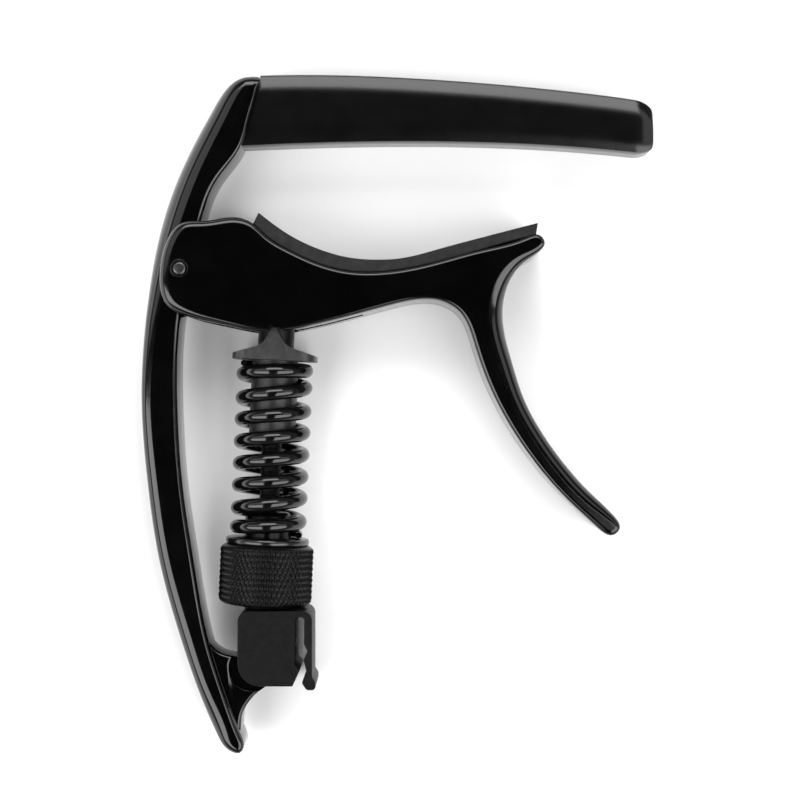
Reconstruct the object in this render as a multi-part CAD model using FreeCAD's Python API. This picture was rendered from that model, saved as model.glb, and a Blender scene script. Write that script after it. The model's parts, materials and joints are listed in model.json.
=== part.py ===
import FreeCAD, Part
import math
import os

from FreeCAD import Vector

# A trigger capo for a guitar, lying on its side.
# +Z is across the neck gap's width, up from the surface it lies on. +Y is towards the arm.
# +X is towards the free end of the arm. Millimetres.

# driving dimensions
LEVER_WIDTH = 15.0        # the widest piece, which the capo lies on
MIDDLE = LEVER_WIDTH / 2  # height of the middle plane
SPINE_WIDTH = 9.0
WEB_WIDTH = 6.4           # the lug in the crook of the spine's foot
FRAME_ROUNDING = 0.8
CROWN_FOOT = 49.2         # above it the top of the spine keeps its sharp rim
LEVER_ROUNDING = 0.7
SLEEVE_WIDTH = 6.6
CORE_WIDTH = 4.4          # of the bar inside the sleeve
SLOT_WIDTH = 10.0         # between the lever's two cheeks
PAD_WIDTH = 13.6
BLOCK_WIDTH = 11.5
FOOT_PIN_TOP = 4.5        # above the middle plane; the hole for it does not come through the front
TONGUE_WIDTH = 5.0
TONGUE_SLOT = 5.5
SLOT_END = -13.0          # there the lever's cavity narrows
GROOVE_WIDTH = 4.0        # its width beyond
ROOF_END = -5.4           # where the cavity ends and the solid trigger starts

LEVER_PIVOT = (-32.2, 21.3)
KNIFE_EDGE = (-18.35, 12.75)
FOOT_PIVOT = (-20.5, -36.7)

PIN_RADIUS = 1.0
RUNNING_GAP = 0.05        # radial, a pin in its hole

# along the strut, measured from the foot pivot
SCREW_FOOT = 4.6
NUT_FOOT = 8.1
NUT_LENGTH = 9.0
NUT_RADIUS = 7.0
NUT_CHAMFER = 0.75
HUB_RADIUS = 3.45
HUB_TOP = 22.0
WASHER_THICKNESS = 1.0
WASHER_RADIUS = 6.25
SPRING_FOOT = NUT_FOOT + NUT_LENGTH + WASHER_THICKNESS
SPRING_RADIUS = 4.7       # to the wire's centre
WIRE_RADIUS = 1.05
SPRING_TURNS = 8
FLANGE_FOOT = 44.65
FLANGE_THICKNESS = 0.85
FLANGE_SIZE = 12.3
FACET_WIDTH = 12.0        # across the plunger's two flat facets
GUIDE_RADIUS = 3.5
GUIDE_FOOT = 32.5
POST_RADIUS = 2.7
POST_FOOT = FLANGE_FOOT - 6
POST_TOP = 52.6
GUIDE_BORE = 2.0          # radius, round the screw, in the plunger and its post
SCREW_RADIUS = 1.5
SCREW_TOP = 40.0

POINTS_PER_EDGE = 3       # of a smooth outline

STRUT = Vector(KNIFE_EDGE[0] - FOOT_PIVOT[0], KNIFE_EDGE[1] - FOOT_PIVOT[1], 0)
STRUT.normalize()


def curve(points, closed=False):
    """Smooth edges through points of the middle plane, each a few points long."""
    spline = Part.BSplineCurve()
    spline.interpolate([Vector(x, y, 0) for x, y in points], PeriodicFlag=closed)
    knots = spline.getKnots()
    stops = knots[:-1:POINTS_PER_EDGE] + knots[-1:]
    return [spline.toShape(a, b) for a, b in zip(stops, stops[1:])]


def polyline(points):
    return [Part.makeLine(Vector(*a, 0), Vector(*b, 0)) for a, b in zip(points, points[1:])]


def arc(start, through, end):
    return Part.Arc(Vector(*start, 0), Vector(*through, 0), Vector(*end, 0)).toShape()


def plate(edges, width):
    """A closed outline made solid across the middle plane."""
    face = Part.Face(Part.Wire(edges))
    face.translate(Vector(0, 0, -width / 2))
    return face.extrude(Vector(0, 0, width))


def polygon_plate(points, width):
    return plate(polyline(points + points[:1]), width)


def cross_pin(centre, radius, length):
    """A cylinder along Z, centred on the middle plane."""
    return Part.makeCylinder(radius, length, Vector(*centre, -length / 2))


def on_strut(shape):
    """Stands a shape made along +Z from the origin on the strut's axis, from the foot pivot."""
    turned = shape.copy()
    turned.Placement = FreeCAD.Placement(
        Vector(*FOOT_PIVOT, 0), FreeCAD.Rotation(Vector(0, 0, 1), STRUT)
    ).multiply(turned.Placement)
    return turned


def cylinder_on_strut(radius, foot, top):
    return on_strut(Part.makeCylinder(radius, top - foot, Vector(0, 0, foot)))


def revolve_on_strut(profile):
    """Turns an outline of (radius, height) points about the strut's axis."""
    points = [Vector(r, 0, h) for r, h in profile + profile[:1]]
    face = Part.Face(Part.makePolygon(points))
    return on_strut(face.revolve(Vector(0, 0, 0), Vector(0, 0, 1), 360))


def across_strut(along, side):
    """The point at a distance along the strut and to its right."""
    return (
        FOOT_PIVOT[0] + STRUT.x * along + STRUT.y * side,
        FOOT_PIVOT[1] + STRUT.y * along - STRUT.x * side,
    )


def face_edges(solid, width):
    """The edges that bound a plate's two flat faces."""
    return [
        e for e in solid.Edges
        if e.BoundBox.ZLength < 1e-3 and abs(abs(e.BoundBox.Center.z) - width / 2) < 1e-3
    ]


def frame():
    """The casting: the spine down to its toe, a thinner lug with a tongue, and the bar inside the sleeve."""
    seam = [(-20.4, 49.95), (-21.4, 47.0), (-22.5, 43.3), (-23.5, 39.5)]
    back = [
        (-24.45, 49.4), (-27.75, 45.5), (-31.8, 38.1), (-35.2, 29.2), (-37.35, 17.0), (-38.25, 2.0),
        (-37.4, -10.0), (-35.6, -22.0), (-32.35, -33.8), (-29.5, -42.0), (-27.0, -47.8),
    ]
    toe = [(-26.0, -49.4), (-24.7, -50.25), (-23.6, -50.35), (-23.0, -49.5), (-23.4, -47.6)]
    inner = [
        (-25.2, -43.2), (-26.7, -38.8), (-28.1, -34.2), (-30.4, -22.0), (-32.0, -11.0), (-32.8, 1.0),
        (-32.4, 13.8), (-29.9, 26.0), (-26.8, 34.8), (-23.5, 39.5),
    ]
    crown = arc((-20.4, 49.95), (-22.7, 50.05), (-24.45, 49.4))
    body = plate(curve(back + toe + inner) + curve(seam[::-1]) + [crown], SPINE_WIDTH)
    rims = [e for e in face_edges(body, SPINE_WIDTH) if e.BoundBox.YMin < CROWN_FOOT]
    body = body.makeFillet(FRAME_ROUNDING, rims)
    lug = [
        (-25.0, -48.6), (-24.0, -48.3), (-23.5, -47.0), (-23.4, -45.2), (-22.4, -43.0), (-20.9, -41.4),
        (-19.1, -40.0), (-18.2, -38.0), (-18.6, -36.4), (-20.4, -35.9), (-23.0, -36.2), (-25.0, -36.0),
        (-26.6, -35.5), (-27.8, -34.5), (-29.0, -33.3), (-30.4, -33.4), (-29.6, -37.0), (-27.4, -44.0),
    ]
    web = plate(curve(lug, closed=True), WEB_WIDTH)
    core = polygon_plate([(-24.0, 42.2), (35.5, 41.0), (35.5, 45.2), (-24.0, 47.8)], CORE_WIDTH)
    body = body.fuse([web, core])
    # the pocket each side that leaves the tongue which the foot block straddles
    pocket = polygon_plate([(-22.0, -41.6), (-14.0, -41.6), (-14.0, -33.0), (-25.5, -33.0), (-25.5, -38.1)], 8.0)
    pocket = pocket.fuse(cross_pin((-22.0, -38.1), 3.5, 8.0))
    pocket = pocket.cut(polygon_plate([(-30, -50), (0, -50), (0, -30), (-30, -30)], TONGUE_WIDTH))
    body = body.cut(pocket)
    body = body.cut(cross_pin(LEVER_PIVOT, PIN_RADIUS + RUNNING_GAP, 20.0))
    return body.cut(cross_pin(FOOT_PIVOT, PIN_RADIUS + RUNNING_GAP, 20.0))


def arm_sleeve(core):
    """Rubber over the arm: a flat underside, upright sides and a rounded top."""
    stations = [  # x, underside, top, width
        (-25.0, 39.7, 50.3, 1.0), (-12.0, 40.2, 50.4, 1.0), (3.0, 40.4, 49.8, 1.0),
        (18.0, 40.05, 48.65, 1.0), (30.0, 39.25, 47.35, 1.0), (35.5, 38.8, 46.4, 0.95), (37.9, 40.4, 44.9, 0.6),
    ]
    rounding = [(3.0, 0.0), (1.6, 0.12), (0.6, 0.36), (0.12, 0.75), (0.0, 1.4)]  # below the top, in from the side
    sections = []
    for x, low, high, width in stations:
        half = width * SLEEVE_WIDTH / 2
        over = [Vector(x, high - down, half - inward * width) for down, inward in rounding]
        over += [Vector(x, v.y, -v.z) for v in over[::-1]]
        dome = Part.BSplineCurve()
        dome.interpolate(over)
        corners = [over[-1], Vector(x, low, -half), Vector(x, low, half), over[0]]
        sides = [Part.makeLine(p, q) for p, q in zip(corners, corners[1:])]
        sections.append(Part.Wire([dome.toShape(), *sides]))
    body = Part.makeLoft(sections, True, True)
    beyond = [(-20.4, 52.0), (-20.4, 49.95), (-21.4, 47.0), (-22.5, 43.3), (-23.5, 39.5), (-23.5, 37.0),
              (-30.0, 37.0), (-30.0, 52.0)]
    return body.cut([polygon_plate(beyond, 20.0), core])


def lever():
    """The casting: two cheeks, the saddle over its cavity, and the curved trigger."""
    outline = [
        (-23.6, 28.8), (-28.6, 28.3), (-32.0, 27.95), (-34.1, 25.4), (-35.1, 21.4), (-35.1, 18.4),
        (-34.1, 15.9), (-31.9, 14.6), (-26.0, 13.1), (-19.6, 12.05), (-13.0, 12.9), (-7.2, 14.3),
        (-1.3, 15.9), (2.6, 16.7), (6.2, 16.5), (8.9, 14.9), (11.0, 10.4), (12.5, 5.9), (14.7, 1.0),
        (17.6, -3.9), (23.35, -11.25), (29.05, -16.7), (31.4, -17.85), (32.4, -16.9), (31.4, -14.8),
        (28.05, -11.55), (24.1, -7.1), (20.95, -2.65), (18.35, 2.3), (16.6, 7.75), (15.5, 12.2),
        (15.35, 16.0), (16.3, 19.5), (18.25, 22.1), (20.6, 23.8), (21.4, 25.0), (20.6, 26.2),
        (18.6, 25.85), (11.9, 24.0), (3.2, 21.7), (-2.9, 20.8), (-7.2, 20.9), (-12.0, 22.1),
        (-16.0, 23.9), (-19.5, 26.1), (-21.4, 27.9),
    ]
    body = plate(curve(outline, closed=True), LEVER_WIDTH)
    body = body.makeFillet(LEVER_ROUNDING, face_edges(body, LEVER_WIDTH))
    cavity = polyline([(-22.8, 26.0), (-28.9, 26.0), (-28.4, 31.0), (-40.0, 31.0), (-40.0, 9.0),
                       (ROOF_END, 9.0), (ROOF_END, 18.3)])
    cavity += curve([(ROOF_END, 18.3), (-12.0, 19.6), (-17.5, 22.1), (-22.8, 26.0)])
    cavity = plate(cavity, SLOT_WIDTH)
    groove = polygon_plate([(SLOT_END, 0), (0, 0), (0, 40), (SLOT_END, 40)], SLOT_WIDTH)
    narrow = polygon_plate([(SLOT_END, 0), (0, 0), (0, 40), (SLOT_END, 40)], GROOVE_WIDTH)
    body = body.cut([cavity.cut(groove), cavity.common(narrow)])
    body = body.cut(cross_pin(LEVER_PIVOT, PIN_RADIUS, 20.0))
    x, y = KNIFE_EDGE
    notch = [(x - 1.3, y - 1.5), (x - 0.8, y + 0.45), (x + 0.7, y + 0.45), (x + 2.2, y - 1.5)]
    return body.cut(polygon_plate(notch, 20.0))


def saddle_pad(seat):
    """Rubber strip on the saddle."""
    top = [
        (-20.6, 29.5), (-17.0, 26.8), (-11.2, 23.95), (-7.2, 22.9), (-2.8, 22.6), (0.2, 22.8),
        (5.6, 24.1), (12.3, 25.9), (20.4, 28.0),
    ]
    foot = [(20.4, 28.0), (20.7, 26.3), (11.9, 23.5), (-2.9, 20.0), (-13.0, 21.8), (-21.9, 27.9), (-20.6, 29.5)]
    return plate(curve(top) + polyline(foot), PAD_WIDTH).cut(seat)


def lever_pivot_pin():
    return cross_pin(LEVER_PIVOT, PIN_RADIUS, LEVER_WIDTH - 0.3)


def pivot_washers():
    """Two plastic washers between the cheeks and the spine."""
    ring = Part.makeCylinder(2.4, 0.4).cut(Part.makeCylinder(PIN_RADIUS + RUNNING_GAP, 0.4))
    low, high = ring.copy(), ring
    high.translate(Vector(*LEVER_PIVOT, SPINE_WIDTH / 2))
    low.translate(Vector(*LEVER_PIVOT, -SPINE_WIDTH / 2 - 0.4))
    return Part.makeCompound([low, high])


def plunger():
    """Spring guide: a sleeve inside the spring, a flange on it, and a wedge with a knife edge."""
    flange = Part.makeBox(FLANGE_SIZE, FACET_WIDTH, FLANGE_THICKNESS,
                          Vector(-FLANGE_SIZE / 2, -FACET_WIDTH / 2, FLANGE_FOOT))
    flange = on_strut(flange.makeFillet(1.7, [e for e in flange.Edges if e.BoundBox.ZLength > 0.5]))
    rim = FLANGE_FOOT + FLANGE_THICKNESS
    edge_at = math.hypot(KNIFE_EDGE[0] - FOOT_PIVOT[0], KNIFE_EDGE[1] - FOOT_PIVOT[1])
    half = [(6.1, rim), (1.85, 47.0), (0.35, edge_at)]
    side = [across_strut(s, r) for r, s in half] + [across_strut(s, -r) for r, s in half[::-1]]
    wedge = polygon_plate(side, FACET_WIDTH)
    wedge = wedge.common(on_strut(Part.makeBox(FLANGE_SIZE, FACET_WIDTH, 20,
                         Vector(-FLANGE_SIZE / 2, -FACET_WIDTH / 2, FLANGE_FOOT))))
    body = flange.fuse([wedge, cylinder_on_strut(GUIDE_RADIUS, GUIDE_FOOT, rim)])
    bore = cylinder_on_strut(GUIDE_BORE, GUIDE_FOOT - 1, POST_FOOT + 1)
    return body.cut([bore, cylinder_on_strut(POST_RADIUS, POST_FOOT, POST_TOP)])


def guide_post():
    """Steel tube through the plunger, standing in the lever's cavity."""
    tube = cylinder_on_strut(POST_RADIUS, POST_FOOT, POST_TOP)
    return tube.cut(cylinder_on_strut(GUIDE_BORE, POST_FOOT - 1, POST_TOP - 1))


def spring():
    """Round wire, wound right-handed, between the tension washer and the flange."""
    foot = SPRING_FOOT + WIRE_RADIUS
    height = FLANGE_FOOT - WIRE_RADIUS - foot
    path = Part.makeHelix(height / SPRING_TURNS, height, SPRING_RADIUS)
    section = Part.Wire(Part.makeCircle(WIRE_RADIUS - 0.03, Vector(SPRING_RADIUS, 0, 0), Vector(0, 1, 0)))
    coil = Part.Wire(path.Edges).makePipeShell([section], True, True)
    coil.translate(Vector(0, 0, foot))
    return on_strut(coil)


def tension_washer():
    low = NUT_FOOT + NUT_LENGTH
    bore = HUB_RADIUS + RUNNING_GAP
    return revolve_on_strut([(bore, low), (WASHER_RADIUS, low), (WASHER_RADIUS, SPRING_FOOT),
                             (bore, SPRING_FOOT)])


def adjusting_nut():
    top = NUT_FOOT + NUT_LENGTH
    bore = SCREW_RADIUS + RUNNING_GAP
    return revolve_on_strut([
        (bore, NUT_FOOT), (NUT_RADIUS - NUT_CHAMFER, NUT_FOOT), (NUT_RADIUS, NUT_FOOT + NUT_CHAMFER),
        (NUT_RADIUS, top - NUT_CHAMFER), (NUT_RADIUS - NUT_CHAMFER, top), (HUB_RADIUS, top),
        (HUB_RADIUS, HUB_TOP), (bore, HUB_TOP),
    ])


def tension_screw():
    """Threaded rod with a square head held in the foot block."""
    head = Part.makeBox(5.0, 5.0, 2.0, Vector(-2.5, -2.5, SCREW_FOOT))
    return on_strut(head).fuse(cylinder_on_strut(SCREW_RADIUS, SCREW_FOOT, SCREW_TOP))


def pick_holder():
    """Foot block with a flexing arm that clips a plectrum against its side."""
    edges = [
        arc((-23.8, -37.0), (-22.9, -39.1), (-20.5, -40.2)),
        *polyline([(-20.5, -40.2), (-15.7, -40.2), (-14.6, -37.8), (-15.3, -37.0), (-15.25, -30.6)]),
        arc((-15.25, -30.6), (-14.6, -30.0), (-13.95, -30.6)),
        *curve([(-13.95, -30.6), (-13.95, -33.2), (-14.05, -34.1), (-13.5, -35.1), (-14.05, -36.5),
                (-13.65, -38.1), (-14.2, -39.7), (-13.2, -40.6), (-12.35, -40.1), (-12.8, -39.0)]),
        *polyline([(-12.8, -39.0), (-12.8, -30.4)]),
        arc((-12.8, -30.4), (-13.2, -29.5), (-14.1, -29.1)),
        *polyline([(-14.1, -29.1), (-22.2, -29.1)]),
        arc((-22.2, -29.1), (-23.3, -29.6), (-23.8, -30.7)),
        *polyline([(-23.8, -30.7), (-23.8, -37.0)]),
    ]
    body = plate(edges, BLOCK_WIDTH)
    slot = [(-30, -45), (-16.4, -45), (-16.4, -33.4), (-30, -33.4)]
    body = body.cut(polygon_plate(slot, TONGUE_SLOT))
    body = body.fuse(cylinder_on_strut(3.0, 7.0, NUT_FOOT - 0.05))
    foot = -BLOCK_WIDTH / 2
    hole = Part.makeCylinder(PIN_RADIUS, FOOT_PIN_TOP - foot, Vector(*FOOT_PIVOT, foot))
    return body.cut([hole, tension_screw()])


def foot_pin():
    foot = -BLOCK_WIDTH / 2 + 0.2
    return Part.makeCylinder(PIN_RADIUS, FOOT_PIN_TOP - foot, Vector(*FOOT_PIVOT, foot))


def main():
    os.makedirs("parts", exist_ok=True)
    casting, trigger = frame(), lever()
    nodes = {
        "frame": casting,
        "arm_sleeve": arm_sleeve(casting),
        "lever": trigger,
        "saddle_pad": saddle_pad(trigger),
        "lever_pivot_pin": lever_pivot_pin(),
        "pivot_washers": pivot_washers(),
        "plunger": plunger(),
        "guide_post": guide_post(),
        "spring": spring(),
        "tension_washer": tension_washer(),
        "adjusting_nut": adjusting_nut(),
        "tension_screw": tension_screw(),
        "pick_holder": pick_holder(),
        "foot_pin": foot_pin(),
    }
    whole = Part.makeCompound(list(nodes.values())).optimalBoundingBox()
    print("x", whole.XMin, whole.XMax, "y", whole.YMin, whole.YMax, "z", whole.ZMin, whole.ZMax)
    for name, shape in nodes.items():
        shape.translate(Vector(0, 0, MIDDLE))
        print(f"{name:16} valid {shape.isValid()} solids {len(shape.Solids)} volume {shape.Volume:9.1f}")
        shape.exportStep(f"parts/{name}.step")


main()
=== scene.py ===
import json
import math

import bmesh
import bpy
import numpy as np
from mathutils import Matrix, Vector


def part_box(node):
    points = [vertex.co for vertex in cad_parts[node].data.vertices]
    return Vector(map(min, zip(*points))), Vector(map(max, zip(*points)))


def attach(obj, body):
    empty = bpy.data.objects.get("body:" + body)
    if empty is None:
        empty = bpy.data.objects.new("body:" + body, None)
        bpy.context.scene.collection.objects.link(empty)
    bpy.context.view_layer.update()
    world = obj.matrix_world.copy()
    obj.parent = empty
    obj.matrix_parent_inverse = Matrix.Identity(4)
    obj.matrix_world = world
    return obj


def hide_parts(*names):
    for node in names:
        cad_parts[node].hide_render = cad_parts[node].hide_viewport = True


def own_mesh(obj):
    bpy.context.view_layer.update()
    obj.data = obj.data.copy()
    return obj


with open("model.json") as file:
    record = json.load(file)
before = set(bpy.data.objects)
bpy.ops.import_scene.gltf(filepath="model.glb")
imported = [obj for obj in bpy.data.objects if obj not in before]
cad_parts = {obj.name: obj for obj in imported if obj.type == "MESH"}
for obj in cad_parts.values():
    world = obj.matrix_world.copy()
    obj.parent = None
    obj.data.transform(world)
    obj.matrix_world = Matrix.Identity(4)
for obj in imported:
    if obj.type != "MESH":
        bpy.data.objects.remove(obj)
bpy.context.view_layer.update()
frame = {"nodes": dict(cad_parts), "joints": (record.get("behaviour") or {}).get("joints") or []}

# A trigger capo for a guitar. Shapes are in millimetres, with z counted from the capo's middle plane.
MM = 0.001


# ---- what the frame says ----

def joint(name):
    return next(j for j in frame["joints"] if j["name"] == name)


def extent(node, axis):
    """Lowest and highest coordinate of a CAD node along x, y or z, in millimetres."""
    low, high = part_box(node)
    return low["xyz".index(axis)] / MM, high["xyz".index(axis)] / MM


def half_width(node):
    """Half of a CAD node's size along z."""
    low, high = extent(node, "z")
    return (high - low) / 2


MIDDLE = sum(extent("lever", "z")) / 2
LEVER_PIVOT = np.array(joint("lever_pivot")["pos_m"][:2]) / MM
FOOT_PIVOT = np.array(joint("foot_pivot")["pos_m"][:2]) / MM

STRUT = np.array(joint("plunger_slide")["axis"])
STRUT_SIDE = np.array([STRUT[1], -STRUT[0], 0.0])
UP = np.array([0.0, 0.0, 1.0])
FOOT = np.array([*FOOT_PIVOT, 0.0])


# ---- driving dimensions ----

SPINE_HALF = half_width("frame")
LEVER_HALF = half_width("lever")
SLEEVE_HALF = half_width("arm_sleeve")
PAD_HALF = half_width("saddle_pad")
BLOCK_HALF = half_width("pick_holder")
PLUNGER_HALF = half_width("plunger")
WEB_HALF = 3.2            # the lug, thinner than the spine
CORE_HALF = 2.2           # of the bar inside the sleeve
TONGUE_HALF = 2.5         # of the lug, inside the foot block
TONGUE_SLOT_HALF = 2.75
CAVITY_HALF = 5.0         # between the lever's cheeks
SLOT_END = -15.2          # x at which that cavity narrows
GROOVE_HALF = 2.0         # its narrow end
ROOF_END = -5.4           # x at which it ends and the solid trigger starts
PIN_RADIUS = 1.0
RUNNING_GAP = 0.05        # radial

# along the strut, measured from the foot pivot
NUT_FOOT, NUT_TOP = 8.1, 17.1
NUT_RADIUS = half_width("adjusting_nut")
NUT_CHAMFER = 0.75
HUB_RADIUS, HUB_TOP = 3.45, 22.0
WASHER_RADIUS = half_width("tension_washer")
SPRING_FOOT = NUT_TOP + 1.0
FLANGE_FOOT, FLANGE_TOP, FLANGE_HALF = 44.65, 45.5, 6.15
KNIFE_EDGE = 49.5
GUIDE_RADIUS, GUIDE_BORE, GUIDE_FOOT = 3.5, 2.0, 32.5
POST_RADIUS, POST_FOOT, POST_TOP = 2.7, 38.65, 52.6
SCREW_RADIUS, THREAD_DEPTH, THREAD_PITCH = 1.5, 0.07, 0.5
SCREW_FOOT, SCREW_TOP = 4.6, 40.0
NECK_RADIUS, NECK_FOOT = 3.0, 6.5  # of the foot block, under the nut
COIL_RADIUS, WIRE_RADIUS = 4.7, 1.05  # to the wire's centre, and of the wire
SPRING_SPLIT = 29.0       # where the spring is cut in two


# ---- outlines ----

def spline(rows, closed=False, step=0.5):
    """Rows about a step apart on the smooth curve through the given ones.

    Columns after x and y go with it.
    """
    p = np.array(rows, float)
    if closed:
        p = np.vstack([p, p[:1]])
    h = np.linalg.norm(np.diff(p[:, :2], axis=0), axis=1)
    slope = np.diff(p, axis=0) / h[:, None]
    n = len(p)
    a, b = np.zeros((n, n)), np.zeros_like(p)
    for i in range(1, n - 1):
        a[i, i - 1:i + 2] = h[i], 2 * (h[i - 1] + h[i]), h[i - 1]
        b[i] = 3 * (h[i] * slope[i - 1] + h[i - 1] * slope[i])
    if closed:
        a[0, 0], a[0, -1] = 1, -1
        a[-1, 1], a[-1, -2] = h[-1], h[0]
        a[-1, -1] = 2 * (h[-1] + h[0])
        b[-1] = 3 * (h[-1] * slope[0] + h[0] * slope[-1])
    else:
        a[0, :2], a[-1, -2:] = (2, 1), (1, 2)
        b[0], b[-1] = 3 * slope[0], 3 * slope[-1]
    m = np.linalg.solve(a, b)
    out = []
    for i in range(n - 1):
        count = max(1, round(h[i] / step))
        t = np.arange(count)[:, None] / count
        out.append((1 + 2 * t) * (1 - t) ** 2 * p[i] + t * (1 - t) ** 2 * h[i] * m[i]
                   + t * t * (3 - 2 * t) * p[i + 1] + t * t * (t - 1) * h[i] * m[i + 1])
    return np.vstack(out if closed else out + [p[-1:]])


def cornered(rows, steps=5):
    """A closed outline of straight runs from (x, y, corner radius) rows, with its corners rounded.

    A corner takes less than half of the shorter run beside it.
    """
    p = np.array([r[:2] for r in rows], float)
    out = []
    for i, (here, row) in enumerate(zip(p, rows)):
        u, v = p[i - 1] - here, p[(i + 1) % len(p)] - here
        reach = 0.49 * min(np.linalg.norm(u), np.linalg.norm(v))
        u, v = u / np.linalg.norm(u), v / np.linalg.norm(v)
        half = math.acos(np.clip(u @ v, -1, 1)) / 2
        back = min(row[2] / math.tan(half), reach)
        if back < 1e-3:
            out.append(here)
            continue
        centre = here + (u + v) / np.linalg.norm(u + v) * back / math.cos(half)
        a, b, turn = here + u * back - centre, here + v * back - centre, math.pi - 2 * half
        for f in np.linspace(0, 1, steps + 1):
            out.append(centre + (math.sin((1 - f) * turn) * a + math.sin(f * turn) * b) / math.sin(turn))
    return np.array(out)


def with_rounding(outline, rounding):
    """An outline with the same rounding in every row."""
    return np.column_stack([outline[:, :2], np.full(len(outline), rounding)])


def into(ring, narrowest=0.6):
    """Vectors into a counter-clockwise outline, longer at corners so that the edges stay parallel.

    The narrowest cosine of half a corner's turn that is followed keeps points from flying off.
    """
    before, after = ring - np.roll(ring, 1, 0), np.roll(ring, -1, 0) - ring
    before /= np.linalg.norm(before, axis=1)[:, None]
    after /= np.linalg.norm(after, axis=1)[:, None]
    left = np.column_stack([-before[:, 1], before[:, 0]])
    both = left + np.column_stack([-after[:, 1], after[:, 0]])
    both /= np.linalg.norm(both, axis=1)[:, None]
    return both / np.maximum((both * left).sum(1), narrowest)[:, None]


# ---- meshes ----

def shade(piece, sharp=32):
    """Smooth shading, with creases sharper than that many degrees kept."""
    piece.data.shade_smooth()
    piece.data.set_sharp_from_angle(angle=math.radians(sharp))


def make_piece(name, points, faces):
    """A smooth-shaded closed mesh from points in millimetres about the middle plane."""
    mesh = bpy.data.meshes.new(name)
    mesh.from_pydata([(x * MM, y * MM, (z + MIDDLE) * MM) for x, y, z in points], [], faces)
    work = bmesh.new()
    work.from_mesh(mesh)
    bmesh.ops.recalc_face_normals(work, faces=work.faces)
    work.to_mesh(mesh)
    work.free()
    piece = bpy.data.objects.new(name, mesh)
    bpy.context.scene.collection.objects.link(piece)
    shade(piece)
    return piece


def stacked(name, rings, closed=False):
    """A skin over rings of as many points each, capped at both ends or closed on itself."""
    count = len(rings[0])
    points = np.vstack(rings)
    faces = []
    for low in range(len(rings) if closed else len(rings) - 1):
        high = (low + 1) % len(rings)
        for i in range(count):
            j = (i + 1) % count
            faces.append((low * count + i, low * count + j, high * count + j, high * count + i))
    if not closed:
        faces.append(tuple(range(count))[::-1])
        faces.append(tuple(range((len(rings) - 1) * count, len(rings) * count)))
    return make_piece(name, points, faces)


def level(ring, height):
    """An (x, y) ring lifted to a height."""
    return np.column_stack([ring, np.broadcast_to(height, len(ring))])


def rounded_plate(name, outline, half, steps=6, rim=0.12):
    """A plate across the middle plane, from (x, y, rounding) rows. Its edges are rounded row by row.

    A rounding over 2 mm gets deeper than wide, down to the middle plane at 3 mm.
    """
    ring, r = outline[:, :2], outline[:, 2]
    inward = into(ring)
    even, full = 2.0, 3.0
    deep = np.interp(r, (even, full), (1.0, half / full)) * r
    upper = []
    for turn in np.linspace(0, math.pi / 2, steps + 1):
        upper.append((r * (1 - math.cos(turn)), half - deep * (1 - math.sin(turn))))
    upper.append((r + rim, np.full(len(r), half)))
    levels = [(inset, -height) for inset, height in upper[::-1]] + upper
    return stacked(name, [level(ring + inward * inset[:, None], height) for inset, height in levels])


def prism(name, outline, low, high):
    """An outline made solid between two heights."""
    return stacked(name, [level(outline[:, :2], low), level(outline[:, :2], high)])


def on_strut(points):
    """From (side, up, along) to the capo's own axes."""
    return FOOT + points @ np.array([STRUT_SIDE, UP, STRUT])


def across(centre):
    """Places (x, y, z) points of a cross pin at its centre."""
    return lambda points: points + np.array([*centre, 0.0])


def revolve(name, rings, place, segments=72, closed=False):
    """Rings about an axis, each a radius, or one for every segment, and a height."""
    turn = np.arange(segments) * 2 * math.pi / segments
    out = []
    for radius, height in rings:
        out.append(place(np.column_stack([
            radius * np.sin(turn), radius * np.cos(turn), np.full(segments, height)])))
    return stacked(name, out, closed)


def tube(name, centres, radii, sections=20):
    """A round wire along a path about the strut."""
    ahead = np.gradient(centres, axis=0)
    ahead /= np.linalg.norm(ahead, axis=1)[:, None]
    out = centres - FOOT
    out -= (out @ STRUT)[:, None] * STRUT
    side = out - (out * ahead).sum(1)[:, None] * ahead
    side /= np.linalg.norm(side, axis=1)[:, None]
    other = np.cross(ahead, side)
    turn = np.arange(sections) * 2 * math.pi / sections
    return stacked(name, [
        c + r * (np.cos(turn)[:, None] * s + np.sin(turn)[:, None] * o)
        for c, r, s, o in zip(centres, radii, side, other)])


def combine(piece, operation, others):
    """Joins solids to a piece, or cuts them out of it, and removes them."""
    for other in others:
        change = piece.modifiers.new("change", "BOOLEAN")
        change.operation, change.solver, change.object = operation, "EXACT", other
    graph = bpy.context.evaluated_depsgraph_get()
    mesh = bpy.data.meshes.new_from_object(piece.evaluated_get(graph))
    piece.modifiers.clear()
    piece.data = mesh
    for other in others:
        bpy.data.objects.remove(other)
    shade(piece)
    return piece


def pin_hole(centre, radius, half, sink=0.0):
    """A cutter for a hole right through, with a countersink of that width at both faces."""
    upper = [(radius, half - sink), (radius + sink, half), (radius + sink + 1, half + 1)]
    lower = [(r, -height) for r, height in upper[::-1]]
    return revolve("hole", lower + upper, across(centre), 48)


def belongs(piece, body, slot, material, *nodes):
    """Gives a piece its material, the body it moves with and the CAD nodes it stands for."""
    piece.data.materials.clear()
    piece.data.materials.append(material)
    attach(piece, body)
    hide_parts(*nodes)
    return piece


# ---- materials ----

NOISE_RANGE = 0.3, 0.7    # noise seldom goes past these


def nodes_of(name, color, roughness, metallic=0.0, specular=0.5):
    """A new material with its shader, and the object coordinates that its patterns use."""
    material = bpy.data.materials.new(name)
    material.use_nodes = True
    tree = material.node_tree
    shader = tree.nodes["Principled BSDF"]
    shader.inputs["Base Color"].default_value = (*color, 1)
    shader.inputs["Roughness"].default_value = roughness
    shader.inputs["Metallic"].default_value = metallic
    shader.inputs["Specular IOR Level"].default_value = specular
    return material, tree, shader, tree.nodes.new("ShaderNodeTexCoord").outputs["Object"]


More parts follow.
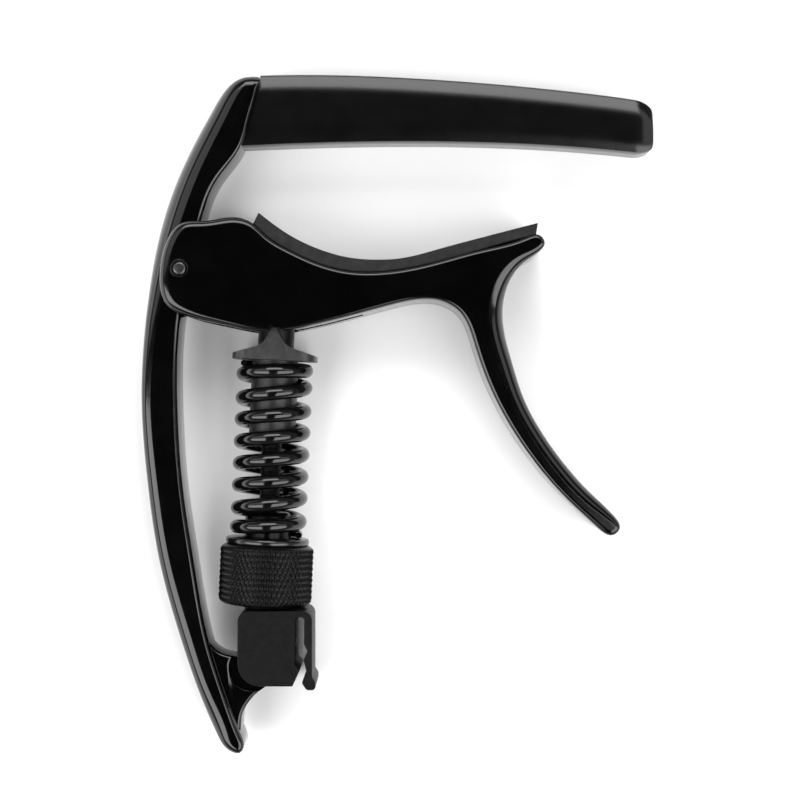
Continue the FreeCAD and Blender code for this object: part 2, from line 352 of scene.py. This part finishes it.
def noise(tree, where, size, detail=3.0):
    """Noise with features about that many millimetres across."""
    node = tree.nodes.new("ShaderNodeTexNoise")
    node.inputs["Scale"].default_value = 1 / (size * MM)
    node.inputs["Detail"].default_value = detail
    tree.links.new(where, node.inputs["Vector"])
    return node.outputs["Fac"]


def spread(tree, value, low, high, socket):
    """Feeds a socket from noise, as a number between two values."""
    node = tree.nodes.new("ShaderNodeMapRange")
    node.inputs["From Min"].default_value, node.inputs["From Max"].default_value = NOISE_RANGE
    node.inputs["To Min"].default_value, node.inputs["To Max"].default_value = low, high
    tree.links.new(value, node.inputs["Value"])
    tree.links.new(node.outputs["Result"], socket)


def tint(tree, value, dark, light, socket):
    """Feeds a socket from noise, as a colour between two colours."""
    node = tree.nodes.new("ShaderNodeValToRGB")
    first, last = node.color_ramp.elements
    first.position, last.position = NOISE_RANGE
    first.color, last.color = (*dark, 1), (*light, 1)
    tree.links.new(value, node.inputs["Fac"])
    tree.links.new(node.outputs["Color"], socket)


def relief(tree, shader, heights):
    """Bumps laid one on the other: (height field, depth in millimetres)."""
    before = None
    for value, depth in heights:
        bump = tree.nodes.new("ShaderNodeBump")
        bump.inputs["Distance"].default_value = depth * MM
        tree.links.new(value, bump.inputs["Height"])
        if before:
            tree.links.new(before, bump.inputs["Normal"])
        before = bump.outputs["Normal"]
    tree.links.new(before, shader.inputs["Normal"])


def gloss_coat():
    """Gloss black coat on the castings, with a faint orange peel."""
    material, tree, shader, where = nodes_of("gloss_coat", (0.0008,) * 3, 0.1)
    tint(tree, noise(tree, where, 9), (0.0005,) * 3, (0.0012,) * 3, shader.inputs["Base Color"])
    spread(tree, noise(tree, where, 4), 0.09, 0.13, shader.inputs["Roughness"])
    relief(tree, shader, [(noise(tree, where, 1.3, 2), 0.004)])
    return material


def sleeve_rubber():
    """Black rubber with a low sheen and a fine grain."""
    material, tree, shader, where = nodes_of("sleeve_rubber", (0.001,) * 3, 0.19, specular=0.45)
    tint(tree, noise(tree, where, 6), (0.0008,) * 3, (0.0016,) * 3, shader.inputs["Base Color"])
    spread(tree, noise(tree, where, 2.5), 0.175, 0.2, shader.inputs["Roughness"])
    relief(tree, shader, [(noise(tree, where, 0.35), 0.002), (noise(tree, where, 3, 2), 0.01)])
    return material


def pad_rubber():
    """Greyer foam rubber, cut from sheet."""
    material, tree, shader, where = nodes_of("pad_rubber", (0.016,) * 3, 0.85, specular=0.2)
    tint(tree, noise(tree, where, 1.2), (0.012,) * 3, (0.02,) * 3, shader.inputs["Base Color"])
    relief(tree, shader, [(noise(tree, where, 0.3), 0.03)])
    return material


def moulding(name, color, roughness, specular, grain):
    """Spark-textured plastic."""
    material, tree, shader, where = nodes_of(name, color, roughness, specular=specular)
    dark, light = [c * 0.75 for c in color], [c * 1.3 for c in color]
    tint(tree, noise(tree, where, 0.8), dark, light, shader.inputs["Base Color"])
    spread(tree, noise(tree, where, 0.5), roughness - 0.06, roughness + 0.08, shader.inputs["Roughness"])
    relief(tree, shader, [(noise(tree, where, 0.25), grain)])
    return material


def black_steel(name, smooth, specular):
    """Blackened steel, semi-gloss."""
    material, tree, shader, where = nodes_of(name, (0.002,) * 3, smooth, specular=specular)
    tint(tree, noise(tree, where, 2), (0.001,) * 3, (0.004,) * 3, shader.inputs["Base Color"])
    spread(tree, noise(tree, where, 1), smooth * 0.85, smooth * 1.3, shader.inputs["Roughness"])
    relief(tree, shader, [(noise(tree, where, 0.6), 0.003)])
    return material


def knurled_metal():
    """Black on turned metal, a little lighter where the knurl's tips have rubbed."""
    material, tree, shader, where = nodes_of("knurled_metal", (0.0015,) * 3, 0.22, specular=0.13)
    tint(tree, noise(tree, where, 0.7), (0.001,) * 3, (0.003,) * 3, shader.inputs["Base Color"])
    spread(tree, noise(tree, where, 0.5), 0.18, 0.28, shader.inputs["Roughness"])
    relief(tree, shader, [(noise(tree, where, 0.2), 0.004)])
    return material


def dark_steel():
    """Turned and blackened steel of a pin's end."""
    material, tree, shader, where = nodes_of("dark_steel", (0.06,) * 3, 0.3, metallic=1.0)
    tint(tree, noise(tree, where, 0.4), (0.04,) * 3, (0.09,) * 3, shader.inputs["Base Color"])
    relief(tree, shader, [(noise(tree, where, 0.15), 0.01)])
    return material


def floor_paint():
    """Plain white sweep."""
    material, tree, shader, where = nodes_of("white_sweep", (0.9,) * 3, 0.9, specular=0.1)
    tint(tree, noise(tree, where, 60), (0.89,) * 3, (0.91,) * 3, shader.inputs["Base Color"])
    return material


GLOSS = gloss_coat()
RUBBER = sleeve_rubber()
PAD = pad_rubber()
GREY_MOULDING = moulding("grey_moulding", (0.02,) * 3, 0.36, 0.4, 0.006)
DARK_MOULDING = moulding("dark_moulding", (0.004, 0.004, 0.0044), 0.42, 0.1, 0.016)
BLACK_STEEL = black_steel("black_steel", 0.2, 0.6)
SPRING_STEEL = black_steel("spring_steel", 0.11, 0.5)
KNURLED = knurled_metal()
STEEL = dark_steel()
TUBE_STEEL = black_steel("tube_steel", 0.35, 0.2)


# ---- the frame's casting and its sleeve ----

def spine_outline():
    """(x, y, rounding): the crown, the back, the toe, the inner edge and the seam."""
    return spline([
        (-20.55, 49.45, 0.42), (-20.65, 49.8, 0.5), (-21.0, 50.0, 0.65), (-21.7, 50.05, 1.1),
        (-23.0, 49.95, 1.6), (-24.45, 49.4, 2.0),
        (-27.75, 45.5, 2.7), (-31.8, 38.1, 3.0), (-35.2, 29.2, 3.0), (-37.35, 17.0, 2.2),
        (-38.25, 2.0, 1.5), (-37.4, -10.0, 1.6), (-35.6, -22.0, 1.7), (-32.35, -33.8, 1.8),
        (-29.5, -42.0, 1.8), (-27.0, -47.8, 1.8), (-26.0, -49.4, 1.4), (-24.7, -50.25, 1.05),
        (-23.6, -50.35, 0.8), (-23.0, -49.5, 0.8), (-23.4, -47.6, 0.85), (-25.2, -43.2, 0.7),
        (-26.7, -38.8, 0.7), (-28.1, -34.2, 0.7), (-30.4, -22.0, 0.7), (-32.0, -11.0, 0.7),
        (-32.8, 1.0, 0.7), (-32.4, 13.8, 0.7), (-29.9, 26.0, 0.7), (-26.8, 34.8, 0.6),
        (-23.5, 39.5, 0.45), (-22.4, 43.3, 0.42), (-21.35, 47.0, 0.42), (-20.85, 48.6, 0.42),
    ], closed=True)


def web_outline():
    """The lug: a thinner web in the crook of the spine's foot."""
    return spline([
        (-25.0, -48.6, 0.4), (-24.0, -48.3, 0.4), (-23.5, -47.0, 0.5), (-23.4, -45.2, 0.5),
        (-22.4, -43.0, 0.5), (-20.9, -41.4, 0.5), (-19.1, -40.0, 0.5), (-18.2, -38.0, 0.5),
        (-18.6, -36.4, 0.5), (-20.4, -35.9, 0.5), (-23.0, -36.2, 0.5), (-25.0, -36.0, 0.5),
        (-26.6, -35.5, 0.5), (-27.8, -34.5, 0.45), (-29.0, -33.3, 0.4), (-30.4, -33.4, 0.4),
        (-29.6, -37.0, 0.4), (-27.4, -44.0, 0.4),
    ], closed=True)


def tongue_pockets():
    """Cutters that leave the tongue in the foot block, round at their left end, with a bevelled rim."""
    outline = cornered([
        (-25.3, -34.6, 3.2), (-25.3, -41.2, 3.2), (-14.0, -41.2, 0), (-14.0, -34.6, 0),
    ], 14)
    outward = -into(outline)
    wide, deep = 0.16, 0.07
    levels = [(0.0, TONGUE_HALF), (0.0, WEB_HALF - deep), (wide, WEB_HALF), (wide, SPINE_HALF + 1)]
    return [
        stacked("pocket", [level(outline + outward * out, way * z) for out, z in levels])
        for way in (1, -1)
    ]


def frame_casting():
    """The spine, its lug, and the bar inside the sleeve."""
    body = rounded_plate("frame_casting", spine_outline(), SPINE_HALF, 9)
    web = rounded_plate("web", web_outline(), WEB_HALF)
    bar = cornered([(-24.0, 42.2, 1), (35.5, 41.0, 1), (35.5, 45.2, 1), (-24.0, 47.8, 1)])
    core = prism("core", bar, -CORE_HALF, CORE_HALF)
    body = combine(body, "UNION", [web, core])
    holes = [pin_hole(c, PIN_RADIUS + RUNNING_GAP, SPINE_HALF + 1) for c in (LEVER_PIVOT, FOOT_PIVOT)]
    return combine(body, "DIFFERENCE", tongue_pockets() + holes + [crown_edges()])


def crown_edges():
    """A cutter that rounds the crown's top as far as the seam."""
    rounding, clear = 1.6, 0.03
    crest_from, crest = -22.0, 49.98  # right of it, the crown is taken as level
    top = spine_outline()
    top = top[(top[:, 1] > 49.4) & (top[:, 0] > -23.2)]
    top = top[np.argsort(top[:, 0])][::3]
    rings = []
    for x, y in [*top[:, :2], (-19.5, top[-1, 1])]:
        y = (max(y, crest) if x > crest_from else y) + clear
        arch = [(y - rounding * (1 - math.cos(t)), SPINE_HALF - rounding * (1 - math.sin(t)))
                for t in np.linspace(0, math.pi / 2, 8)]
        arch += [(y - rounding, SPINE_HALF + 1), (y + 2, SPINE_HALF + 1)]
        ring = arch + [(v, -z) for v, z in arch[::-1]]
        rings.append(np.array([(x, v, z) for v, z in ring]))
    return stacked("crown_edges", rings)


def sleeve_stations(left, right, rim, nose, lean, sag):
    """Along the sleeve: (x, how much shorter its height is at each edge, how much thinner each side)."""
    closing = 1.5             # of the height, against the thickness, round the free end's rim
    stations = [(x, 0.0, 0.0) for x in np.arange(left - 3, right - nose, 1.0)]
    for f in np.linspace(0, 1, 16):
        stations.append((right - rim - (nose - rim) * (1 - f), 0.0, sag * f ** 2))
    for t in np.linspace(lean, math.radians(88), 12)[1:]:
        shrink = rim * (math.cos(lean) - math.cos(t))
        stations.append((right - rim * (1 - math.sin(t)), closing * shrink, sag + shrink))
    return stations


def arm_sleeve():
    """Rubber: upright sides that lean in towards the top and the free end, with tight rims."""
    left, right = extent("arm_sleeve", "x")
    lows = spline([
        (-26, 39.65), (-12, 40.2), (3, 40.4), (18, 40.05), (30, 39.25), (36, 38.65), (40, 38.2),
    ])
    highs = spline([
        (-26, 50.1), (-19, 50.35), (-12, 50.4), (3, 49.85), (18, 48.7), (30, 47.4), (36, 46.55), (40, 45.8),
    ])
    bulge, lean = 7.0, math.radians(20)  # the side bends in along this radius, by this angle
    rim, foot, nose, corner = 0.5, 0.2, 2.8, 1.5
    sag, length = bulge * (1 - math.cos(lean)), bulge * math.sin(lean)
    rings = []
    for x, shrink, thinner in sleeve_stations(left, right, rim, nose, lean, sag):
        past = max(0.0, x - right + nose)
        cut = corner * (1 - math.sqrt(1 - (past / nose) ** 2)) if past < nose else corner
        low = np.interp(x, lows[:, 0], lows[:, 1]) + cut + shrink
        high = np.interp(x, highs[:, 0], highs[:, 1]) - cut - shrink
        half, turn = SLEEVE_HALF - thinner, high - rim - length
        side = []
        for t in np.radians([-90, -45, 0]):
            side.append((half - foot * (1 - math.cos(t)), low + foot * (1 + math.sin(t))))
        side += [(half, low + (turn - low) * f) for f in (0.4, 0.8)]
        side += [(half - sag * f ** 2, turn + length * f) for f in np.linspace(0, 1, 8)]
        for t in np.linspace(lean, math.pi / 2, 7)[1:]:
            side.append((half - sag - rim * (math.cos(lean) - math.cos(t)), high - rim * (1 - math.sin(t))))
        rings.append(np.array([(x, y, z) for z, y in side + [(-z, y) for z, y in side[::-1]]]))
    return stacked("arm_rubber", rings)


# ---- the lever, its pad and its pin ----

LEVER_TOP = [
    (20.6, 26.2, 0.6), (18.6, 25.85, 0.6), (11.9, 24.0, 0.6), (3.2, 21.7, 0.6), (-2.9, 20.8, 0.6),
    (-7.2, 20.9, 0.6), (-12.0, 22.1, 0.6), (-16.0, 23.9, 0.6), (-19.5, 26.1, 0.65), (-21.4, 27.9, 0.8),
]


def lever_outline():
    """(x, y, rounding): the head, the underside, the trigger and the saddle."""
    head = [
        (-23.6, 28.8, 1.0), (-28.6, 28.3, 1.0), (-32.0, 27.95, 1.1), (-34.1, 25.4, 1.3),
        (-35.1, 21.4, 1.4), (-35.1, 18.4, 1.4), (-34.1, 15.9, 1.3), (-31.9, 14.6, 1.1),
    ]
    underside = [
        (-26.0, 13.1, 0.8), (-19.6, 12.05, 0.6), (-13.0, 12.9, 0.6), (-7.2, 14.3, 0.6),
        (-1.3, 15.9, 0.6), (2.6, 16.7, 0.6), (6.2, 16.5, 0.6), (8.9, 14.9, 0.6), (11.0, 10.4, 0.6),
    ]
    trigger = [
        (12.5, 5.9, 0.6), (14.7, 1.0, 0.6), (17.6, -3.9, 0.6), (23.35, -11.25, 0.6), (29.05, -16.7, 0.7),
        (31.4, -17.85, 0.7), (32.4, -16.9, 0.7), (31.4, -14.8, 1.1), (28.05, -11.55, 1.6),
        (24.1, -7.1, 1.7), (20.95, -2.65, 1.7), (18.35, 2.3, 1.8), (16.6, 7.75, 2.0), (15.5, 12.2, 2.1),
        (15.35, 16.0, 2.1), (16.3, 19.5, 1.8), (18.25, 22.1, 1.2), (20.6, 23.8, 0.7), (21.4, 25.0, 0.6),
    ]
    return spline(head + underside + trigger + LEVER_TOP, closed=True)


def lever_casting():
    """Two cheeks, the saddle over the cavity that the strut works in, and the trigger."""
    body = rounded_plate("lever_casting", lever_outline(), LEVER_HALF)
    below, groove_start = 9.0, -17.0
    roof = spline([(ROOF_END, 18.3), (-12.0, 19.6), (-17.5, 22.1), (-22.8, 26.0)])
    step = (SLOT_END, np.interp(-SLOT_END, -roof[:, 0], roof[:, 1]))
    walls = [(-28.9, 26.0), (-28.4, 31.0), (-40.0, 31.0), (-40.0, below)]
    wide = np.vstack([(SLOT_END, below), step, roof[roof[:, 0] < SLOT_END], walls])
    narrow = np.vstack([(groove_start, below), (ROOF_END, below), roof[roof[:, 0] > groove_start]])
    cavity = prism("cavity", wide, -CAVITY_HALF, CAVITY_HALF)
    groove = prism("groove", narrow, -GROOVE_HALF, GROOVE_HALF)
    x, y = (FOOT + STRUT * KNIFE_EDGE)[:2]
    seat = cornered([
        (x - 1.2, y - 1.5, 0), (x + 2.1, y - 1.5, 0), (x + 0.5, y + 0.25, 0.2), (x - 0.55, y + 0.25, 0.2),
    ])
    notch = prism("notch", seat, -LEVER_HALF - 1, LEVER_HALF + 1)
    hole = pin_hole(LEVER_PIVOT, PIN_RADIUS, LEVER_HALF, sink=0.35)
    return combine(body, "DIFFERENCE", [cavity, groove, notch, hole])


def saddle_strip():
    """A strip that lies on the saddle, with square-cut ends."""
    top = spline([
        (20.4, 28.0), (12.3, 25.9), (5.6, 24.1), (0.2, 22.8), (-2.8, 22.6), (-7.2, 22.9),
        (-11.2, 23.95), (-17.0, 26.8), (-20.6, 29.5),
    ])
    seat = spline(LEVER_TOP)[::-1, :2]
    seat = seat[seat[:, 0] < 20.3]
    strip = with_rounding(np.vstack([top, seat]), 0.22)
    return rounded_plate("saddle_rubber", strip, PAD_HALF, 4, 0.08)


def cross_pin(name, centre, low, high, radius):
    """A turned pin with rounded ends."""
    end = 0.32
    flat = radius - end * 1.25
    rings = [(flat, low)]
    for t in np.radians([20, 50, 90]):
        rings.append((radius - end * (1 - math.sin(t)), low + end * (1 - math.cos(t))))
    for t in np.radians([0, 40, 70]):
        rings.append((radius - end * (1 - math.cos(t)), high - end * (1 - math.sin(t))))
    return revolve(name, rings + [(flat, high)], across(centre), 40)


# ---- the strut ----

def plunger_moulding():
    """A knife edge over a square flange, and a sleeve inside the spring."""
    flank = spline([(0.35, KNIFE_EDGE), (1.0, 48.2), (1.85, 47.0), (3.6, 46.25), (6.1, FLANGE_TOP)], step=0.3)
    half = np.vstack([(FLANGE_HALF, FLANGE_FOOT), flank[::-1]])
    outline = np.vstack([half, half[::-1] * (-1, 1)])
    placed = on_strut(np.column_stack([outline[:, 0], np.zeros(len(outline)), outline[:, 1]]))
    wedge = rounded_plate("plunger_moulding", with_rounding(placed, 0.14), PLUNGER_HALF, 3, 0.05)
    side, depth, corner = FLANGE_HALF, PLUNGER_HALF, 2.2
    corners = cornered([
        (-side, -depth, corner), (side, -depth, corner), (side, depth, corner), (-side, depth, corner),
    ], 8)
    footprint = [on_strut(level(corners, s)) for s in (FLANGE_FOOT - 0.5, KNIFE_EDGE + 1)]
    body = combine(wedge, "INTERSECT", [stacked("footprint", footprint)])
    bevel, overlap = 0.3, 0.1
    sleeve = [
        (GUIDE_BORE, GUIDE_FOOT), (GUIDE_RADIUS - bevel, GUIDE_FOOT), (GUIDE_RADIUS, GUIDE_FOOT + bevel),
        (GUIDE_RADIUS, FLANGE_FOOT + overlap), (GUIDE_BORE, FLANGE_FOOT + overlap),
    ]
    bore = [(POST_RADIUS, POST_FOOT), (POST_RADIUS, POST_TOP)]
    body = combine(body, "UNION", [revolve("sleeve", sleeve, on_strut, closed=True)])
    return combine(body, "DIFFERENCE", [revolve("bore", bore, on_strut)])


def helix(low, high):
    """Centres and radii of the spring's wire. Strands cross the front a pitch apart, and both ends taper."""
    tip = 0.5                 # of the wire's ends above and below the seats
    first_strand, last_strand, strands = 20.0, 43.0, 8
    fronts = range(0, 360 * strands, 360)
    turns = np.radians([-275, -180, *fronts, fronts[-1] + 180, fronts[-1] + 275])
    heights = [
        low + tip, low + WIRE_RADIUS, *np.linspace(first_strand, last_strand, strands),
        high - WIRE_RADIUS, high - tip,
    ]
    knots = spline(np.column_stack([turns, heights]), step=0.3)
    fine = np.arange(turns[0], turns[-1], math.radians(7.5))
    height = np.interp(fine, knots[:, 0], knots[:, 1])
    thin = tip - 0.05
    radii = np.interp(fine, turns[[0, 1, -2, -1]], [thin, WIRE_RADIUS, WIRE_RADIUS, thin])
    centres = np.column_stack([COIL_RADIUS * np.sin(fine), COIL_RADIUS * np.cos(fine), height])
    return on_strut(centres), radii


def spring_half(name, keep_upper):
    """The spring above or below the split, closed where it is cut."""
    piece = tube(name, *helix(SPRING_FOOT, FLANGE_FOOT))
    cut = (FOOT + STRUT * SPRING_SPLIT + UP * MIDDLE) * MM
    work = bmesh.new()
    work.from_mesh(piece.data)
    made = bmesh.ops.bisect_plane(
        work, geom=work.verts[:] + work.edges[:] + work.faces[:], plane_co=cut, plane_no=STRUT,
        clear_inner=keep_upper, clear_outer=not keep_upper)
    rim = [e for e in made["geom_cut"] if isinstance(e, bmesh.types.BMEdge)]
    bmesh.ops.holes_fill(work, edges=rim, sides=0)
    bmesh.ops.recalc_face_normals(work, faces=work.faces)
    work.to_mesh(piece.data)
    work.free()
    shade(piece)
    return piece


def washer():
    """A flat ring with a rounded edge, between the spring and the nut."""
    low, high, bore, edge = NUT_TOP, SPRING_FOOT, HUB_RADIUS + RUNNING_GAP, 0.3
    rings = [(bore, low)]
    for t in np.radians(np.linspace(-90, 90, 9)):
        height = (low + high) / 2 + ((high - low) / 2) * math.sin(t)
        rings.append((WASHER_RADIUS - edge + edge * math.cos(t), height))
    return revolve("tension_ring", rings + [(bore, high)], on_strut, 96, closed=True)


def knurl_wave(value):
    """0 in a groove and 1 half way to the next."""
    return np.abs(np.sin(math.pi * value))


def nut():
    """Knurled barrel with turned chamfers, and the hub that centres the spring."""
    around, across_one = 56, 8        # knurls round the barrel, and mesh columns in each
    tall, depth, plumpness = 1.7, 0.3, 0.8
    bore, smooth, crease, edge = SCREW_RADIUS + RUNNING_GAP, 0.25, 0.05, 0.9
    segments = around * across_one
    turn = np.arange(segments) / across_one
    rim = NUT_RADIUS - NUT_CHAMFER
    rings = [(bore, NUT_FOOT), (rim - smooth, NUT_FOOT), (rim, NUT_FOOT + crease)]
    for height in np.linspace(NUT_FOOT + smooth, NUT_TOP - smooth, 69):
        from_end = min(height - NUT_FOOT, NUT_TOP - height)
        limit = NUT_RADIUS - NUT_CHAMFER * max(0, 1 - from_end / NUT_CHAMFER) ** 1.3
        wave = (knurl_wave(turn + height / tall) * knurl_wave(turn - height / tall)) ** plumpness
        rings.append((np.minimum(NUT_RADIUS - depth + depth * wave, limit), height))
    rings += [(rim, NUT_TOP - crease), (rim - smooth, NUT_TOP), (HUB_RADIUS, NUT_TOP)]
    for t in np.radians(np.linspace(0, 75, 7)):
        rings.append((HUB_RADIUS - edge * (1 - math.cos(t)), HUB_TOP - edge * (1 - math.sin(t))))
    rings += [(bore + 0.3, HUB_TOP), (bore, HUB_TOP - 0.3)]
    return revolve("knurled_nut", rings, on_strut, segments, closed=True)


def screw():
    """Threaded rod. Its square head is held inside the foot block."""
    segments, rows_per_turn = 24, 8
    turn = np.arange(segments) / segments
    head_radius, head_top = 2.5, SCREW_FOOT + 2
    rings = [
        (0.5, SCREW_FOOT), (head_radius, SCREW_FOOT), (head_radius, head_top), (SCREW_RADIUS - 0.2, head_top),
    ]
    for height in np.arange(NUT_FOOT - 0.5, SCREW_TOP - 0.3, THREAD_PITCH / rows_per_turn):
        wave = knurl_wave(height / THREAD_PITCH - turn)
        rings.append((SCREW_RADIUS - THREAD_DEPTH * (1 - wave), height))
    return revolve("threaded_rod", rings + [(SCREW_RADIUS - 0.5, SCREW_TOP)], on_strut, segments)


def foot_block():
    """Block with its clip arm: a slot between them, two teeth, and a lead-in at the foot."""
    outline = cornered([
        (-23.8, -29.1, 1.6), (-23.8, -40.2, 3.3), (-15.7, -40.2, 0.25), (-14.6, -37.8, 0.25),
        (-15.35, -37.0, 0.15), (-15.3, -30.0, 0.55), (-13.95, -30.0, 0.55), (-14.0, -34.0, 0.5),
        (-13.45, -35.1, 0.35), (-14.05, -36.3, 0.5), (-13.6, -38.1, 0.6), (-14.35, -39.7, 0.6),
        (-13.6, -40.75, 0.5), (-12.3, -40.75, 0.5), (-12.3, -39.6, 0.5), (-12.8, -38.8, 0.5),
        (-12.8, -29.1, 1.4),
    ])
    body = rounded_plate("foot_moulding", with_rounding(outline, 0.14), BLOCK_HALF, 3, 0.05)
    neck = revolve("neck", [(NECK_RADIUS, NECK_FOOT), (NECK_RADIUS, NUT_FOOT - RUNNING_GAP)], on_strut, 48)
    body = combine(body, "UNION", [neck])
    slot = cornered([(-30, -45, 0), (-16.4, -45, 0), (-16.4, -33.4, 0.6), (-30, -33.4, 0)])
    tongue = prism("tongue", slot, -TONGUE_SLOT_HALF, TONGUE_SLOT_HALF)
    low, high = (z - MIDDLE for z in extent("foot_pin", "z"))
    bore = revolve("bore", [(PIN_RADIUS, low - 1), (PIN_RADIUS, high)], across(FOOT_PIVOT), 40)
    return combine(body, "DIFFERENCE", [tongue, bore])


# ---- assembly ----

def build_frame_body():
    casting = frame_casting()
    sleeve = arm_sleeve()
    past_seam = np.array([
        (-20.6, 53.0), (-30.0, 53.0), (-30.0, 38.5), (-24.0, 38.5), (-23.5, 39.6), (-22.5, 43.3),
        (-21.45, 47.0), (-20.95, 48.6), (-20.65, 49.6),
    ])
    sleeve = combine(sleeve, "DIFFERENCE", [prism("past_seam", past_seam, -9, 9)])
    belongs(casting, "frame_body", "casting", GLOSS, "frame")
    belongs(sleeve, "frame_body", "rubber", RUBBER, "arm_sleeve")
    frame["nodes"]["pivot_washers"].material_slots[0].material = DARK_MOULDING


def build_lever_body():
    belongs(lever_casting(), "lever_body", "casting", GLOSS, "lever")
    belongs(saddle_strip(), "lever_body", "rubber", PAD, "saddle_pad")
    low, high = (z - MIDDLE for z in extent("lever_pivot_pin", "z"))
    pin = cross_pin("lever_pin", LEVER_PIVOT, low, high, PIN_RADIUS)
    belongs(pin, "lever_body", "steel_pin", STEEL, "lever_pivot_pin")


def build_strut():
    """The foot block with its screw, the nut, the washer, the plunger, and the spring in two halves.
    """
    belongs(plunger_moulding(), "plunger_body", "grey_moulding", GREY_MOULDING, "plunger")
    frame["nodes"]["guide_post"].material_slots[0].material = TUBE_STEEL
    belongs(washer(), "washer_body", "black_steel", BLACK_STEEL, "tension_washer")
    belongs(nut(), "nut_body", "knurled_metal", KNURLED, "adjusting_nut")
    belongs(screw(), "foot_body", "black_steel", TUBE_STEEL, "tension_screw")
    belongs(foot_block(), "foot_body", "moulding", DARK_MOULDING, "pick_holder")
    frame["nodes"]["foot_pin"].material_slots[0].material = STEEL
    for name, leader, length in (("spring_upper", "lever_pivot", FLANGE_FOOT - SPRING_SPLIT),
                                 ("spring_lower", "tension_travel", SPRING_SPLIT - SPRING_FOOT)):
        piece = spring_half(name, name == "spring_upper")
        belongs(piece, "foot_body", "black_steel", SPRING_STEEL, "spring")
        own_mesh(piece)


# ---- studio ----

VIEW_X, VIEW_Y = 0.15, 2.0
VIEW_HEIGHT = 290.0       # above the capo's middle plane
LENS = 86.9


def panel(name, across, along, radiance, height=0.6):
    """A level light overhead, which spans those angles from the zenith along x and along y."""
    x, y = (height * np.tan(np.radians(span)) for span in (across, along))
    light = bpy.data.lights.new(name, "AREA")
    light.shape = "RECTANGLE"
    light.size, light.size_y = x[1] - x[0], y[1] - y[0]
    light.energy = radiance * math.pi * light.size * light.size_y
    lamp = bpy.data.objects.new(name, light)
    lamp.location = (x.mean(), y.mean(), height)
    lamp.visible_camera = False
    bpy.context.scene.collection.objects.link(lamp)


def sky():
    """A pale horizon under a dark ceiling, brighter low on the left."""
    world = bpy.data.worlds.new("studio")
    bpy.context.scene.world = world
    world.use_nodes = True
    tree = world.node_tree
    split = tree.nodes.new("ShaderNodeSeparateXYZ")
    tree.links.new(tree.nodes.new("ShaderNodeTexCoord").outputs["Generated"], split.inputs["Vector"])
    ramp = tree.nodes.new("ShaderNodeValToRGB")
    tree.links.new(split.outputs["Z"], ramp.inputs["Fac"])
    # (sine of the height over the horizon, brightness)
    stops = [(0.0, 1.6), (0.07, 1.2), (0.14, 0.3), (0.45, 0.15), (0.75, 0.02), (1.0, 0.008)]
    elements = ramp.color_ramp.elements
    while len(elements) < len(stops):
        elements.new(0.5)
    for element, (position, value) in zip(elements, stops):
        element.position, element.color = position, (value, value, value, 1)
    glow, strength = tree.nodes.new("ShaderNodeMath"), 1.4
    glow.operation = "MULTIPLY"
    # (direction's component, where the glow begins, where it is full)
    for i, (axis, begin, full) in enumerate((("X", -0.7, -0.95), ("Z", 0.3, 0.18))):
        reach = tree.nodes.new("ShaderNodeMapRange")
        reach.inputs["From Min"].default_value, reach.inputs["From Max"].default_value = begin, full
        reach.inputs["To Max"].default_value = strength
        tree.links.new(split.outputs[axis], reach.inputs["Value"])
        tree.links.new(reach.outputs["Result"], glow.inputs[i])
    total = tree.nodes.new("ShaderNodeVectorMath")
    tree.links.new(ramp.outputs["Color"], total.inputs[0])
    tree.links.new(glow.outputs["Value"], total.inputs[1])
    tree.links.new(total.outputs["Vector"], tree.nodes["Background"].inputs["Color"])


def studio():
    """Lights, sky, floor and camera."""
    panel("light_top", (-27, 27), (29, 56), 5.6)
    panel("light_top_edge", (-31, 31), (23, 60), 0.9)
    panel("light_back", (-62, -14), (10, 45), 1.2)
    panel("light_end", (30, 58), (6, 40), 1.2)
    panel("light_left", (-62, -17), (-42, 0), 5.0)
    panel("light_right", (10, 60), (-46, 0), 4.5)
    sky()

    bpy.ops.mesh.primitive_plane_add(size=8.0, location=(0, 0, 0))
    floor = bpy.context.object
    floor.name = "floor"
    floor.data.materials.append(floor_paint())

    camera = bpy.data.objects.new("camera", bpy.data.cameras.new("camera"))
    camera.location = (VIEW_X * MM, VIEW_Y * MM, (MIDDLE + VIEW_HEIGHT) * MM)
    camera.data.lens = LENS
    camera.data.clip_start = 0.01
    bpy.context.scene.collection.objects.link(camera)
    bpy.context.scene.camera = camera
    bpy.context.scene.view_settings.view_transform = "Standard"


build_frame_body()
build_lever_body()
build_strut()
studio()
